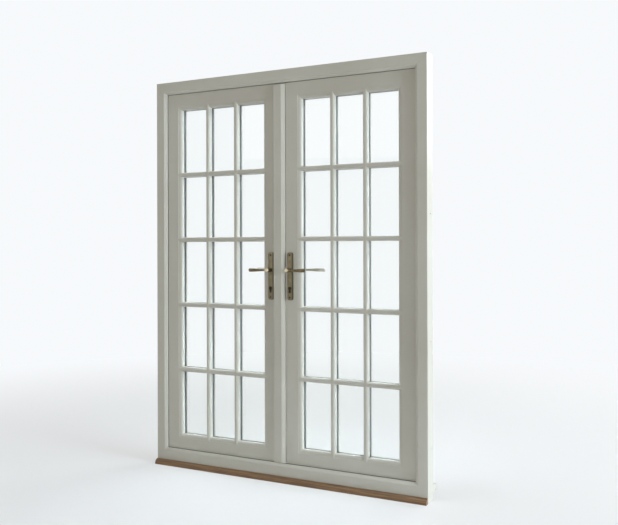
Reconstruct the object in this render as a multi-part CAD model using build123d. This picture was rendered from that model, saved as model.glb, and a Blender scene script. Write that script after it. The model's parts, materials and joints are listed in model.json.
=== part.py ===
# A pair of glazed french doors in a four-sided timber frame.
# The frame has a head, two jambs and a sill, with a bevelled stop on the room side.
# Both leaves hang on outside butt hinges and swing away from the room.
# Each leaf is a moulded timber surround with glazing bars and fifteen sealed panes.
# A lever on each leaf turns a toothed follower, which drives a top and a bottom bolt.
#
# Millimetres. +Z is up, +X is to the right seen from the room, +Y points outdoors.
# The origin is on the floor, at the middle of the frame's width and depth.

import math
import os

from build123d import *

# Frame
frame_width = 1570.0
frame_height = 2100.0
jamb_face = 62.0
head_face = 65.5
stop_depth = 16.0
stop_height = 16.0
bevel_width = 14.0
bevel_depth = 8.0
sill_top = 91.0
sill_nose = 40.0
sill_nose_height = 28.0
sill_flat = 68.0
sill_fall = 8.0
drip_width = 6.0
drip_depth = 5.0
floor_bead_height = 28.0
floor_bead_depth = 24.0
floor_bead_toe = 3.0
floor_bead_joint = 221.0
floor_bead_gap = 0.4

# Leaves
leaf_thickness = 57.0
leaf_gap = 4.0
seal_gap = 3.0
meeting_line = 21.0
meeting_gap = 3.0
sight_from_middle = 111.5
hinge_stile = 102.0
top_rail = 101.5
bottom_rail = 93.0
bar_width = 25.0
columns = 3
rows = 5
outer_column_extra = 7.0
outer_row_extra = 11.5
moulding_width = 20.0
bar_moulding = 7.0
moulding_depth = 12.0
quirk = 2.0
strip_width = 64.5
strip_thickness = 12.0
strip_bevel = 18.0
strip_edge = 3.0
strip_round = 2.5
strip_end_gap = 1.5
strip_top_gap = 8.0

# Glazing
glass_setback = 27.0
pane_thickness = 4.0
cavity = 12.0
glass_cover = 6.0
glass_play = 2.0
glazing_bead_fall = 3.0
spacer_width = 5.5

# Weather seal
seal_width = 9.0
seal_inset = 2.0
touch = 0.3

# Hinges
hinge_height = 100.0
hinge_from_end = 200.0
knuckles = 5
knuckle_radius = 6.5
knuckle_gap = 0.4
knuckle_stand = 7.5
hinge_pin_radius = 2.95
hinge_pin_play = 0.05
hinge_plate = 2.0
hinge_plate_width = 30.0
hinge_tip_radius = 4.5
hinge_tip_height = 4.0
hinge_tip_round = 3.0

# Handles and lock
spindle_height = 1077.0
left_spindle = -63.0
right_spindle = 49.5
spindle_size = 8.0
spindle_play = 0.05
spindle_depth = 36.0
plate_width = 30.0
plate_height = 243.0
plate_thickness = 10.0
plate_below_spindle = 152.5
plate_corner = 9.0
plate_bevel_width = 5.0
plate_bevel_depth = 3.0
screw_from_end = 14.0
screw_radius = 2.45
screw_head_radius = 4.8
screw_hole = 3.0
screw_bite = 4.5
screw_clearance = 0.9
neck_radius = 9.5
neck_reach = 41.0
inside_lever_reach = 108.0
lever_thickness = 9.0
outside_lever_reach = 147.0
lever_tip_height = 17.0
lever_tip_bulge = 4.0
lever_edge = 2.2
lever_shares = ((0.0, 0.62), (0.14, 0.58), (0.5, 0.8))
key_below_spindle = 92.0
cylinder_radius = 8.5
cylinder_height = 33.0
cylinder_leg = 10.0
cylinder_proud = 2.0
plug_radius = 6.5
plug_play = 0.1
key_slot_width = 2.4
key_slot_height = 9.0
key_slot_depth = 12.0
cam_radius = 15.3
cam_width = 6.0
cam_finger = 6.0
cam_room = 0.3
cam_clearance = 1.5

# Bolt gear
module = 2.0
follower_teeth = 12
pressure_angle = 20.0
follower_width = 12.2
follower_addendum = 1.8
rack_addendum = 1.3
tooth_play = 0.25
root_play = 0.4
tooth_root_lap = 1.0
hub_radius = 8.0
rack_thickness = 4.0
rack_back = 3.7
rack_side_room = 1.1
rack_half_length = 24.0
rack_teeth = 6
bolt_radius = 5.0
bolt_length = 70.0
bolt_from_spindle = 13.0
bolt_inset = 0.5
bolt_play = 0.5
keep_thickness = 2.0
keep_length = 40.0
keep_width = 20.0
keep_depth = 14.0
case_wall = 1.5
case_thickness = 18.0
case_behind = 20.0
case_below_spindle = 122.0
case_above_spindle = 63.0
case_play = 0.3
faceplate_thickness = 2.5
faceplate_width = 20.0
faceplate_length = 220.0
faceplate_corner = 9.9
dead_bolt_height = 25.0
dead_bolt_thickness = 8.0
dead_bolt_length = 34.0
dead_bolt_above_key = 19.0
dead_bolt_offset = 2.5

# Fixing holes through the jambs
fixing_from_end = 250.0
fixing_pitch = 500.0
fixing_radius = 4.0
fixing_counterbore = 9.0
fixing_counterbore_depth = 6.0
fixing_depth = 30.0

# Levels and lines worked out from the sizes above
half_width = frame_width / 2
frame_depth = stop_depth + seal_gap + leaf_thickness
inner_face = -frame_depth / 2
outer_face = frame_depth / 2
stop_x = half_width - jamb_face
rebate_x = stop_x + stop_height
head_stop = frame_height - head_face
head_rebate = head_stop + stop_height
sill_rebate = sill_top - stop_height
stop_back = inner_face + stop_depth
leaf_face = stop_back + seal_gap
leaf_middle = (leaf_face + outer_face) / 2
leaf_edge = rebate_x - leaf_gap
leaf_bottom = sill_rebate + leaf_gap
leaf_top = head_rebate - leaf_gap
left_meeting_edge = meeting_line - meeting_gap / 2
right_meeting_edge = meeting_line + meeting_gap / 2
sight_outer = leaf_edge - hinge_stile
sight_bottom = leaf_bottom + bottom_rail
sight_top = leaf_top - top_rail
glass_front = leaf_face + glass_setback
glass_back = glass_front + 2 * pane_thickness + cavity
glass_rebate = glass_cover + glass_play
hinge_x = rebate_x - leaf_gap / 2
hinge_y = outer_face + knuckle_stand
hinge_levels = (leaf_bottom + hinge_from_end, (leaf_bottom + leaf_top) / 2, leaf_top - hinge_from_end)
fixing_heights = (
    fixing_from_end,
    fixing_from_end + fixing_pitch,
    frame_height - fixing_from_end - fixing_pitch,
    frame_height - fixing_from_end,
)
key_height = spindle_height - key_below_spindle
plate_bottom = spindle_height - plate_below_spindle
plate_middle = plate_bottom + plate_height / 2
screw_levels = (plate_bottom + screw_from_end, plate_bottom + plate_height - screw_from_end)
case_bottom = spindle_height - case_below_spindle
case_top = spindle_height + case_above_spindle
pitch_radius = module * follower_teeth / 2
rack_tip = pitch_radius - rack_addendum
rack_root = pitch_radius + follower_addendum + root_play
rack_outer = rack_root + rack_back
keep_hole = bolt_radius + 2 * bolt_play
rod_y = leaf_middle + case_thickness / 2 - case_wall - rack_thickness / 2 - rack_side_room
dead_bolt_bottom = key_height + dead_bolt_above_key
cam_middle = leaf_middle - dead_bolt_offset
plate_front = leaf_face - plate_thickness
cylinder_ends = (plate_front - cylinder_proud, 2 * leaf_middle - plate_front + cylinder_proud)
past = 5.0
lap = 1.0
quarter_turn = 90


def block(x0, x1, y0, y1, z0, z1):
    """A box between two corners."""
    return Pos((x0 + x1) / 2, (y0 + y1) / 2, (z0 + z1) / 2) * Box(x1 - x0, y1 - y0, z1 - z0)


def front_prism(face, y0, y1):
    """A face drawn in X and Z, carried from depth y0 to depth y1."""
    return extrude(Plane.XZ.offset(-y1) * face, y1 - y0, dir=(0, -1, 0))


def upright_prism(face, z0, z1):
    """A face drawn in X and Y, carried up from z0 to z1."""
    return extrude(Pos(0, 0, z0) * face, z1 - z0, dir=(0, 0, 1))


def cross_prism(face, x0, x1):
    """A face drawn in Y and Z, carried across from x0 to x1."""
    return extrude(Plane.YZ.offset(x0) * face, x1 - x0, dir=(1, 0, 0))


def cross_member(section, x0, x1):
    """A section drawn in Z and Y, carried across from x0 to x1."""
    return extrude(Plane((x0, 0, 0), x_dir=(0, 0, 1), z_dir=(-1, 0, 0)) * section, x1 - x0, dir=(1, 0, 0))


def outline(*points):
    return Polygon(*points, align=None)


def quarter(centre, x_radius, y_radius, start):
    """A quarter of an ellipse, turning anticlockwise from the start angle."""
    return EllipticalCenterArc(centre, x_radius, y_radius, start_angle=start, arc_size=quarter_turn)


def rod(radius, y0, y1, x=0.0, z=0.0):
    """A round bar along Y."""
    return front_prism(Pos(x, z) * Circle(radius), y0, y1)


def upright_rod(radius, z0, z1, x=0.0, y=0.0):
    return Pos(x, y, z0) * extrude(Circle(radius), z1 - z0)


def flipped(shape):
    """The same shape for the left-hand side."""
    return mirror(shape, about=Plane.YZ)


def outside_copy(shape):
    """The same shape on the other face of the leaf."""
    return mirror(shape, about=Plane.XZ.offset(-leaf_middle))


# The frame

def frame_section(near, far):
    """The jamb's or head's section: near is the stop's edge and far the back of the frame."""
    return outline(
        (far, inner_face),
        (near + bevel_width, inner_face),
        (near, inner_face + bevel_depth),
        (near, stop_back),
        (near + stop_height, stop_back),
        (near + stop_height, outer_face),
        (far, outer_face),
    )


def hinge_recess(x0, x1, level):
    """A hinge plate's recess between two depths, open at the outer face."""
    y0, y1 = outer_face - hinge_plate_width, outer_face + past
    return block(x0, x1, y0, y1, level - hinge_height / 2, level + hinge_height / 2)


def jamb_fixing(level):
    """A fixing hole through the jamb, with a counterbore under the leaf's edge."""
    y = outer_face - fixing_depth
    hole = Plane.YZ.offset(rebate_x - past) * Pos(y, level) * Circle(fixing_radius)
    sink = Plane.YZ.offset(rebate_x - past) * Pos(y, level) * Circle(fixing_counterbore)
    return [extrude(hole, jamb_face + past), extrude(sink, past + fixing_counterbore_depth)]


def jamb_hinge_recess(level):
    """The recess that takes one frame plate of a hinge."""
    return hinge_recess(rebate_x - past, rebate_x + hinge_plate, level)


def make_jamb():
    """The right jamb, mitred to the head and scribed over the sill."""
    region = outline(
        (stop_x, sill_top),
        (rebate_x, sill_rebate),
        (half_width, sill_rebate),
        (half_width, frame_height),
        (stop_x, head_stop),
    )
    bar = upright_prism(frame_section(stop_x, half_width), sill_rebate, frame_height)
    jamb = bar & front_prism(region, inner_face - past, outer_face + past)
    cuts = [jamb_hinge_recess(level) for level in hinge_levels]
    for level in fixing_heights:
        cuts += jamb_fixing(level)
    return jamb - cuts


def keep_places():
    """Where each bolt meets the frame: x of the top bolts and x of the bottom bolts."""
    top = (left_spindle - bolt_from_spindle, right_spindle + bolt_from_spindle)
    bottom = (left_spindle + bolt_from_spindle, right_spindle - bolt_from_spindle)
    return top, bottom


def keep_plate(x, z0):
    """A bolt's keep, set flush in the head or the sill."""
    return keep_pocket(x, z0) - upright_rod(keep_hole, z0 - past, z0 + keep_thickness + past, x, rod_y)


def keep_pocket(x, z0):
    """The flat box that one keep fills."""
    return block(x - keep_length / 2, x + keep_length / 2, rod_y - keep_width / 2, rod_y + keep_width / 2,
                 z0, z0 + keep_thickness)


def make_head():
    """The head, mitred to both jambs, with the keep pockets of the top bolts."""
    region = outline(
        (-half_width, frame_height),
        (half_width, frame_height),
        (stop_x, head_stop),
        (-stop_x, head_stop),
    )
    head = cross_member(frame_section(head_stop, frame_height), -half_width, half_width)
    head = head & front_prism(region, inner_face - past, outer_face + past)
    cuts = []
    for x in keep_places()[0]:
        cuts.append(keep_pocket(x, head_rebate))
        cuts.append(upright_rod(keep_hole, head_rebate, head_rebate + keep_depth, x, rod_y))
    return head - cuts


def make_sill():
    """The sill: a weathered base with a drip groove, and the stop that the leaves close against."""
    flat_end = inner_face + sill_flat
    nose = outer_face + sill_nose
    nose_top = sill_rebate - sill_fall
    nose_under = nose_top - sill_nose_height
    base = outline(
        (inner_face, 0),
        (inner_face, sill_rebate),
        (flat_end, sill_rebate),
        (nose, nose_top),
        (nose, nose_under),
        (nose - drip_width, nose_under),
        (nose - drip_width, nose_under + drip_depth),
        (nose - 2 * drip_width, nose_under + drip_depth),
        (nose - 2 * drip_width, nose_under),
        (outer_face, nose_under),
        (outer_face, 0),
    )
    stop = outline(
        (inner_face, sill_rebate),
        (inner_face, sill_top - bevel_width),
        (inner_face + bevel_depth, sill_top),
        (stop_back, sill_top),
        (stop_back, sill_rebate),
    )
    region = outline(
        (-rebate_x, sill_rebate),
        (rebate_x, sill_rebate),
        (stop_x, sill_top),
        (-stop_x, sill_top),
    )
    rib = cross_prism(stop, -rebate_x, rebate_x) & front_prism(region, inner_face - past, outer_face)
    sill = cross_prism(base, -half_width, half_width) + rib
    cuts = []
    for x in keep_places()[1]:
        cuts.append(keep_pocket(x, sill_rebate - keep_thickness))
        cuts.append(upright_rod(keep_hole, sill_rebate - keep_depth, sill_rebate, x, rod_y))
    return sill - cuts


def make_keeps():
    top, bottom = keep_places()
    plates = [keep_plate(x, head_rebate) for x in top]
    plates += [keep_plate(x, sill_rebate - keep_thickness) for x in bottom]
    return plates


def make_floor_bead():
    """The quadrant bead on the floor along the sill, in two lengths that butt."""
    foot = inner_face - floor_bead_depth
    rise = floor_bead_height - floor_bead_toe
    edges = [
        Line((inner_face, floor_bead_height), (inner_face, 0)),
        Line((inner_face, 0), (foot, 0)),
        Line((foot, 0), (foot, floor_bead_toe)),
        quarter((inner_face, floor_bead_toe), floor_bead_depth, rise, 90),
    ]
    section = make_face(edges)
    spans = (
        (-half_width, floor_bead_joint - floor_bead_gap / 2),
        (floor_bead_joint + floor_bead_gap / 2, half_width),
    )
    return [cross_prism(section, x0, x1) for x0, x1 in spans]


def make_weather_seal():
    """The seal on the back of the stop, all round the opening."""
    outer_x, inner_x = stop_x + seal_inset + seal_width, stop_x + seal_inset
    low, high = sill_top - seal_inset, head_stop + seal_inset
    y0, y1 = stop_back, leaf_face - touch
    ring = block(-outer_x, outer_x, y0, y1, low - seal_width, high + seal_width)
    return ring - block(-inner_x, inner_x, y0 - past, y1 + past, low, high)


# The leaves

def shares(first, last, extra, count):
    """The sight edges of a row of panes from first to last, of which the two outer ones are larger."""
    size = (last - first - 2 * extra - (count - 1) * bar_width) / count
    starts = [first] + [first + extra + i * (size + bar_width) for i in range(1, count)]
    ends = [start - bar_width for start in starts[1:]] + [last]
    return list(zip(starts, ends))


def widths(index, count):
    """The widths of the mouldings at the low and the high side of a pane in a row of panes."""
    low = moulding_width if index == 0 else bar_moulding
    high = moulding_width if index == count - 1 else bar_moulding
    return low, high


def member_section(low, high, low_width, high_width):
    """A bar's section: a flat face between two mouldings, either of which may have no width."""
    foot = leaf_face + moulding_depth
    drop = moulding_depth - quirk
    shoulder = leaf_face + quirk
    edges = []
    if low_width:
        edges += [
            Line((low, outer_face), (low, foot)),
            quarter((low + low_width, foot), low_width, drop, 180),
            Line((low + low_width, shoulder), (low + low_width, leaf_face)),
        ]
    else:
        edges.append(Line((low, outer_face), (low, leaf_face)))
    edges.append(Line((low + low_width, leaf_face), (high - high_width, leaf_face)))
    if high_width:
        edges += [
            Line((high - high_width, leaf_face), (high - high_width, shoulder)),
            quarter((high - high_width, foot), high_width, drop, 270),
            Line((high, foot), (high, outer_face)),
        ]
    else:
        edges.append(Line((high, leaf_face), (high, outer_face)))
    edges.append(Line((high, outer_face), (low, outer_face)))
    return make_face(edges)


class Leaf:
    """One leaf's timber, worked out from its two edges and its panes' sight lines."""

    def __init__(self, x0, x1, first_sight, last_sight):
        self.x0, self.x1 = x0, x1
        self.spans_x = shares(first_sight, last_sight, outer_column_extra, columns)
        self.spans_z = shares(sight_bottom, sight_top, outer_row_extra, rows)

    def panes(self):
        return [(i, j) for i in range(columns) for j in range(rows)]

    def edge_section(self, edge, sight):
        """The section of a stile or rail, moulded on its sight side only."""
        if sight > edge:
            return member_section(edge, sight, 0, moulding_width)
        return member_section(sight, edge, moulding_width, 0)

    def side(self, spans, count, flat, sight):
        """An edge that steps out to each pane's sight line with mitred ends, low end first."""
        points = []
        for index, (low, high) in enumerate(spans):
            low_width, high_width = widths(index, count)
            points += [(low - low_width, flat), (low, sight), (high, sight), (high + high_width, flat)]
        return points

    def timber(self, member, points, cells):
        """A moulded member trimmed to its outline, with the rebates of the panes beside it."""
        shape = member & front_prism(outline(*points), leaf_face - past, outer_face + past)
        return shape - [self.pane_box(cell, glass_rebate, glass_front, outer_face + past) for cell in cells]

    def stile(self, column, edge, flat, sight):
        inner = [(x, z) for z, x in self.side(self.spans_z, rows, flat, sight)]
        points = [(edge, leaf_bottom), (flat, leaf_bottom), *inner, (flat, leaf_top), (edge, leaf_top)]
        member = upright_prism(self.edge_section(edge, sight), leaf_bottom, leaf_top)
        return self.timber(member, points, [(column, j) for j in range(rows)])

    def left_stile(self):
        sight = self.spans_x[0][0]
        return self.stile(0, self.x0, sight - moulding_width, sight)

    def right_stile(self):
        sight = self.spans_x[-1][1]
        return self.stile(columns - 1, self.x1, sight + moulding_width, sight)

    def rail(self, row, edge, flat, sight):
        inner = self.side(self.spans_x, columns, flat, sight)
        x0, x1 = inner[0][0], inner[-1][0]
        member = cross_member(self.edge_section(edge, sight), x0, x1)
        return self.timber(member, [(x0, edge), *inner, (x1, edge)], [(i, row) for i in range(columns)])

    def bottom_rail(self):
        sight = self.spans_z[0][0]
        return self.rail(0, leaf_bottom, sight - moulding_width, sight)

    def top_rail(self):
        sight = self.spans_z[-1][1]
        return self.rail(rows - 1, leaf_top, sight + moulding_width, sight)

    def upright_bar(self, column):
        """The bar between a column of panes and the next, in one length from rail to rail."""
        low, high = self.spans_x[column][1], self.spans_x[column + 1][0]
        left = [(x, z) for z, x in self.side(self.spans_z, rows, low + bar_moulding, low)]
        right = [(x, z) for z, x in self.side(self.spans_z, rows, high - bar_moulding, high)]
        cells = [(i, j) for i in (column, column + 1) for j in range(rows)]
        section = member_section(low, high, bar_moulding, bar_moulding)
        return self.timber(upright_prism(section, left[0][1], left[-1][1]), left + right[::-1], cells)

    def cross_bar(self, column, row):
        """The short bar between a pane and the pane above it."""
        left, right = self.spans_x[column]
        left_width, right_width = widths(column, columns)
        low, high = self.spans_z[row][1], self.spans_z[row + 1][0]
        points = [
            (left - left_width, low + bar_moulding),
            (left, low),
            (right, low),
            (right + right_width, low + bar_moulding),
            (right + right_width, high - bar_moulding),
            (right, high),
            (left, high),
            (left - left_width, high - bar_moulding),
        ]
        section = member_section(low, high, bar_moulding, bar_moulding)
        member = cross_member(section, left - left_width, right + right_width)
        return self.timber(member, points, [(column, row), (column, row + 1)])

    def pane_box(self, cell, margin, y0, y1):
        (x0, x1), (z0, z1) = self.spans_x[cell[0]], self.spans_z[cell[1]]
        return block(x0 - margin, x1 + margin, y0, y1, z0 - margin, z1 + margin)

    def glass(self, y0):
        return [self.pane_box(cell, glass_cover, y0, y0 + pane_thickness) for cell in self.panes()]

    def spacers(self):
        y0, y1 = glass_front + pane_thickness, glass_back - pane_thickness
        return [
            self.pane_box(cell, glass_cover, y0, y1)
            - self.pane_box(cell, glass_cover - spacer_width, y0 - past, y1 + past)
            for cell in self.panes()
        ]

    def glazing_beads(self):
        """The outside beads that hold the panes, with their faces falling outwards to shed water."""
        deep, shallow = outer_face, outer_face - glazing_bead_fall
        beads = []
        for cell in self.panes():
            (x0, x1), (z0, z1) = self.spans_x[cell[0]], self.spans_z[cell[1]]
            hollow = loft([
                Plane.XZ.offset(-shallow) * Pos((x0 + x1) / 2, (z0 + z1) / 2) * Rectangle(x1 - x0, z1 - z0),
                Plane.XZ.offset(-deep) * Pos((x0 + x1) / 2, (z0 + z1) / 2)
                * Rectangle(x1 - x0 + 2 * glass_rebate, z1 - z0 + 2 * glass_rebate),
            ])
            ring = self.pane_box(cell, glass_rebate, glass_back, deep)
            beads.append(ring - [self.pane_box(cell, 0, glass_back - past, shallow), hollow])
        return beads


# Hinges, drawn at the right-hand side

def knuckle_spans(level, own):
    """The heights of one plate's knuckles: the frame's take the odd places, the leaf's the even."""
    pitch = hinge_height / knuckles
    foot = level - hinge_height / 2
    return [(foot + i * pitch + knuckle_gap / 2, foot + (i + 1) * pitch - knuckle_gap / 2)
            for i in range(knuckles) if i % 2 == own]


def hinge_leaf(level, own, inner, outer):
    """A recessed plate with its knuckles; inner and outer are its faces, measured from the pin's line."""
    x0, x1 = sorted((hinge_x + inner, hinge_x + outer))
    low, high = level - hinge_height / 2, level + hinge_height / 2
    neck = hinge_y - knuckle_radius - knuckle_gap
    plate = block(x0, x1, outer_face - hinge_plate_width, neck, low, high)
    for z0, z1 in knuckle_spans(level, own):
        plate += block(x0, x1, neck, hinge_y, z0, z1)
        plate += upright_rod(knuckle_radius, z0, z1, hinge_x, hinge_y)
    return plate - upright_rod(hinge_pin_radius + hinge_pin_play, low - past, high + past, hinge_x, hinge_y)


def frame_hinge_leaves():
    half_gap = leaf_gap / 2
    return [hinge_leaf(level, 0, half_gap, half_gap + hinge_plate) for level in hinge_levels]


def door_hinge_leaves():
    half_gap = leaf_gap / 2
    return [hinge_leaf(level, 1, -half_gap, -half_gap - hinge_plate) for level in hinge_levels]


def hinge_pins():
    """The loose pins, with a rounded tip at each end."""
    pins = []
    for level in hinge_levels:
        low, high = level - hinge_height / 2, level + hinge_height / 2
        pin = upright_rod(hinge_pin_radius, low, high, hinge_x, hinge_y)
        pin += upright_rod(hinge_tip_radius, high, high + hinge_tip_height, hinge_x, hinge_y)
        pin += upright_rod(hinge_tip_radius, low - hinge_tip_height, low, hinge_x, hinge_y)
        ends = pin.edges().group_by(Axis.Z)
        pins.append(fillet(ends[0] + ends[-1], hinge_tip_round))
    return pins


def leaf_hinge_recesses():
    """Cut from the right leaf's hinge stile for its hinge plates."""
    return [hinge_recess(leaf_edge - hinge_plate, leaf_edge + past, level) for level in hinge_levels]


# Handles, lock and bolts. They are drawn for the right leaf, with the spindle at x = 0
# and the hinges towards +X, then placed on each leaf.

def euro_profile(grow=0.0):
    """The keyhole-shaped outline of the lock cylinder, drawn in X and Z."""
    leg_radius = cylinder_leg / 2
    leg_end = key_height + cylinder_radius - cylinder_height + leg_radius
    shape = Pos(0, key_height) * Circle(cylinder_radius + grow)
    shape += Pos(0, leg_end) * Circle(leg_radius + grow)
    return shape + outline(
        (-leg_radius - grow, leg_end),
        (leg_radius + grow, leg_end),
        (leg_radius + grow, key_height),
        (-leg_radius - grow, key_height),
    )


def backplate():
    """A long plate on the room face: bevelled all round, with the holes of lever and cylinder."""
    bevel_back = plate_front + plate_bevel_depth
    place = Pos(0, plate_middle)
    wide = RectangleRounded(plate_width, plate_height, plate_corner)
    narrow = RectangleRounded(plate_width - 2 * plate_bevel_width, plate_height - 2 * plate_bevel_width,
                              plate_corner - plate_bevel_width)
    front, back = Plane.XZ.offset(-plate_front) * place, Plane.XZ.offset(-bevel_back) * place
    bevel = loft([front * narrow, back * wide], ruled=True)
    plate = bevel + front_prism(place * wide, bevel_back, leaf_face)
    return plate - [rod(neck_radius + touch, plate_front - past, leaf_face + past, 0, spindle_height),
                    front_prism(euro_profile(touch), plate_front - past, leaf_face + past)]


def inside_plate():
    """The room side's plate, countersunk for its screws."""
    cuts = [rod(screw_radius + spindle_play, plate_front - past, leaf_face + past, 0, level)
            for level in screw_levels]
    return backplate() - cuts - [screw_cone(level, spindle_play) for level in screw_levels]


def screw_cone(level, grow):
    """The countersunk head of a plate screw, narrowing from the plate's face."""
    place = Pos(0, level)
    depth = screw_head_radius - screw_radius
    face = Plane.XZ.offset(-plate_front) * place * Circle(screw_head_radius + grow)
    neck = Plane.XZ.offset(-plate_front - depth) * place * Circle(screw_radius + grow)
    return loft([face, neck])


def outside_plate():
    """The outdoor plate, with blind holes at its back for the screws."""
    bottom = leaf_face - screw_bite - screw_clearance
    cuts = [rod(screw_radius + spindle_play, bottom, leaf_face + past, 0, level) for level in screw_levels]
    return outside_copy(backplate() - cuts)


def plate_screws():
    """The two long screws that clamp the plates through the leaf."""
    return [rod(screw_radius, plate_front + touch, outer_face + screw_bite, 0, level) + screw_cone(level, 0)
            for level in screw_levels]


def lever(reach):
    """A lever with a round neck and a flat arm that widens to a rounded tip."""
    tip, end = lever_tip_height / 2, reach - lever_tip_bulge
    points = [(along * reach, share * tip) for along, share in lever_shares]
    top = Spline(*points, (end, tip))
    face = make_face([
        top,
        ThreePointArc((end, tip), (reach, 0), (end, -tip)),
        mirror(top, about=Plane.XZ),
        Line((0, -points[0][1]), points[0]),
    ])
    neck_end = plate_front - neck_reach
    arm = front_prism(Pos(0, spindle_height) * face, neck_end, neck_end + lever_thickness)
    arm = fillet(arm.edges().filter_by(lambda e: e.center().X > neck_radius
                                       and e.length > lever_thickness), lever_edge)
    neck = rod(neck_radius, neck_end, leaf_face - touch, 0, spindle_height)
    neck = fillet(neck.edges().group_by(Axis.Y)[0], lever_edge)
    return neck + arm - square_hole(leaf_face - spindle_depth - touch, leaf_face + past)


def square_hole(y0, y1):
    """The square hole in which the spindle sits."""
    side = spindle_size + 2 * spindle_play
    return front_prism(Pos(0, spindle_height) * Rectangle(side, side), y0, y1)


def spindle():
    return front_prism(Pos(0, spindle_height) * Rectangle(spindle_size, spindle_size),
                       leaf_face - spindle_depth, 2 * leaf_middle - leaf_face + spindle_depth)


def involute_gap(radius, base):
    """The angle by which an involute flank has turned from its foot at this radius."""
    roll = math.sqrt((radius / base) ** 2 - 1)
    return roll - math.atan(roll)


def follower():
    """The toothed follower on the spindle, with involute teeth and a hub in each case wall."""
    base = pitch_radius * math.cos(math.radians(pressure_angle))
    tip = pitch_radius + follower_addendum
    root = pitch_radius - rack_addendum - root_play
    thickness = math.pi * module / 2 - tooth_play
    centre = thickness / (2 * pitch_radius) + involute_gap(pitch_radius, base)
    steps = [base, (base + pitch_radius) / 2, pitch_radius, (pitch_radius + tip) / 2, tip]
    flank = [(r * math.cos(a), r * math.sin(a)) for r, a in
             ((r, centre - involute_gap(r, base)) for r in steps)]
    foot = ((root - tooth_root_lap) * math.cos(centre), (root - tooth_root_lap) * math.sin(centre))
    low = [(x, -y) for x, y in flank]
    low_foot = (foot[0], -foot[1])
    tooth = make_face([
        Line(foot, flank[0]),
        Spline(*flank),
        Line(flank[-1], low[-1]),
        Spline(*low[::-1]),
        Line(low[0], low_foot),
        Line(low_foot, foot),
    ])
    wheel = Circle(root)
    for i in range(follower_teeth):
        wheel += Rot(0, 0, i * 360 / follower_teeth) * tooth
    y0 = rod_y + rack_thickness / 2 + touch - follower_width
    body = front_prism(Pos(0, spindle_height) * wheel, y0, y0 + follower_width)
    hub = case_thickness / 2 + touch
    body += rod(hub_radius, leaf_middle - hub, leaf_middle + hub, 0, spindle_height)
    return body - square_hole(leaf_face, outer_face)


def rack_face():
    """The toothed bar that the follower drives, drawn in X and Z at the spindle's hinge side."""
    pitch = math.pi * module
    half = pitch / 4 - tooth_play / 2
    slope = math.tan(math.radians(pressure_angle))
    at_tip, at_root = half - rack_addendum * slope, half + (rack_root - pitch_radius) * slope
    last = (rack_teeth - 1) / 2 * pitch
    low_end = [(rack_tip, -rack_half_length), (rack_tip, -last - pitch + at_root)]
    points = [(rack_outer, -rack_half_length), *low_end, (rack_root, -last - pitch * 3 / 4)]
    for i in range(rack_teeth):
        z = i * pitch - last
        points += [(rack_root, z - at_root), (rack_tip, z - at_tip)]
        points += [(rack_tip, z + at_tip), (rack_root, z + at_root)]
    high_end = [(rack_tip, last + pitch - at_root), (rack_tip, rack_half_length)]
    return outline(*points, (rack_root, last + pitch * 3 / 4), *high_end, (rack_outer, rack_half_length))


def rack_and_rod(z0, z1):
    """The rack at the follower and the flat rod that carries its movement from z0 to z1."""
    y0, y1 = rod_y - rack_thickness / 2, rod_y + rack_thickness / 2
    rack = front_prism(Pos(0, spindle_height) * rack_face(), y0, y1)
    return rack + block(rack_tip, rack_outer, y0, y1, z0, z1)


def top_bolt():
    """Rack, flat rod and round bolt that rise when the lever is lifted."""
    end = leaf_top - bolt_inset
    gear = rack_and_rod(spindle_height + rack_half_length, end - bolt_length / 2)
    return gear + upright_rod(bolt_radius, end - bolt_length, end, bolt_from_spindle, rod_y)


def bottom_bolt():
    """The same on the other side of the follower, which goes down as the top one goes up."""
    end = leaf_bottom + bolt_inset
    gear = rack_and_rod(end + bolt_length / 2, spindle_height - rack_half_length)
    return flipped(gear + upright_rod(bolt_radius, end, end + bolt_length, bolt_from_spindle, rod_y))


def bolt_channels():
    """Cut from the meeting stile for the two bolts and their rods."""
    play = bolt_play
    y0, y1 = rod_y - rack_thickness / 2 - play, rod_y + rack_thickness / 2 + play
    deep = bolt_length + 2 * keep_depth
    return [
        block(rack_tip - play, rack_outer + play, y0, y1, case_top - lap, leaf_top + past),
        upright_rod(bolt_radius + play, leaf_top - deep, leaf_top + past, bolt_from_spindle, rod_y),
        block(-rack_outer - play, -rack_tip + play, y0, y1, leaf_bottom - past, case_bottom + lap),
        upright_rod(bolt_radius + play, leaf_bottom - past, leaf_bottom + deep, -bolt_from_spindle, rod_y),
    ]


def lock_case(backset):
    """The pressed case that holds the follower and racks, open behind the faceplate."""
    front = -backset + faceplate_thickness
    y0, y1 = leaf_middle - case_thickness / 2, leaf_middle + case_thickness / 2
    case = block(front, case_behind, y0, y1, case_bottom, case_top)
    play = bolt_play
    rod0, rod1 = rod_y - rack_thickness / 2 - play, rod_y + rack_thickness / 2 + play
    near, far = rack_tip - play, rack_outer + play
    cuts = [block(front - past, case_behind - case_wall, y0 + case_wall, y1 - case_wall,
                  case_bottom + case_wall, case_top - case_wall),
            rod(hub_radius + plug_play, y0 - past, y1 + past, 0, spindle_height),
            front_prism(euro_profile(touch), y0 - past, y1 + past),
            block(near, far, rod0, rod1, case_top - 2 * case_wall, case_top + past),
            block(-far, -near, rod0, rod1, case_bottom - past, case_bottom + 2 * case_wall)]
    cuts += [rod(screw_radius + screw_clearance, y0 - past, y1 + past, 0, level) for level in screw_levels]
    return case - cuts


def dead_bolt_span():
    y0 = cam_middle - dead_bolt_thickness / 2
    return y0, y0 + dead_bolt_thickness, dead_bolt_bottom, dead_bolt_bottom + dead_bolt_height


def dead_bolt(backset):
    front = -backset + touch
    return block(front, front + dead_bolt_length, *dead_bolt_span())


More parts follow.
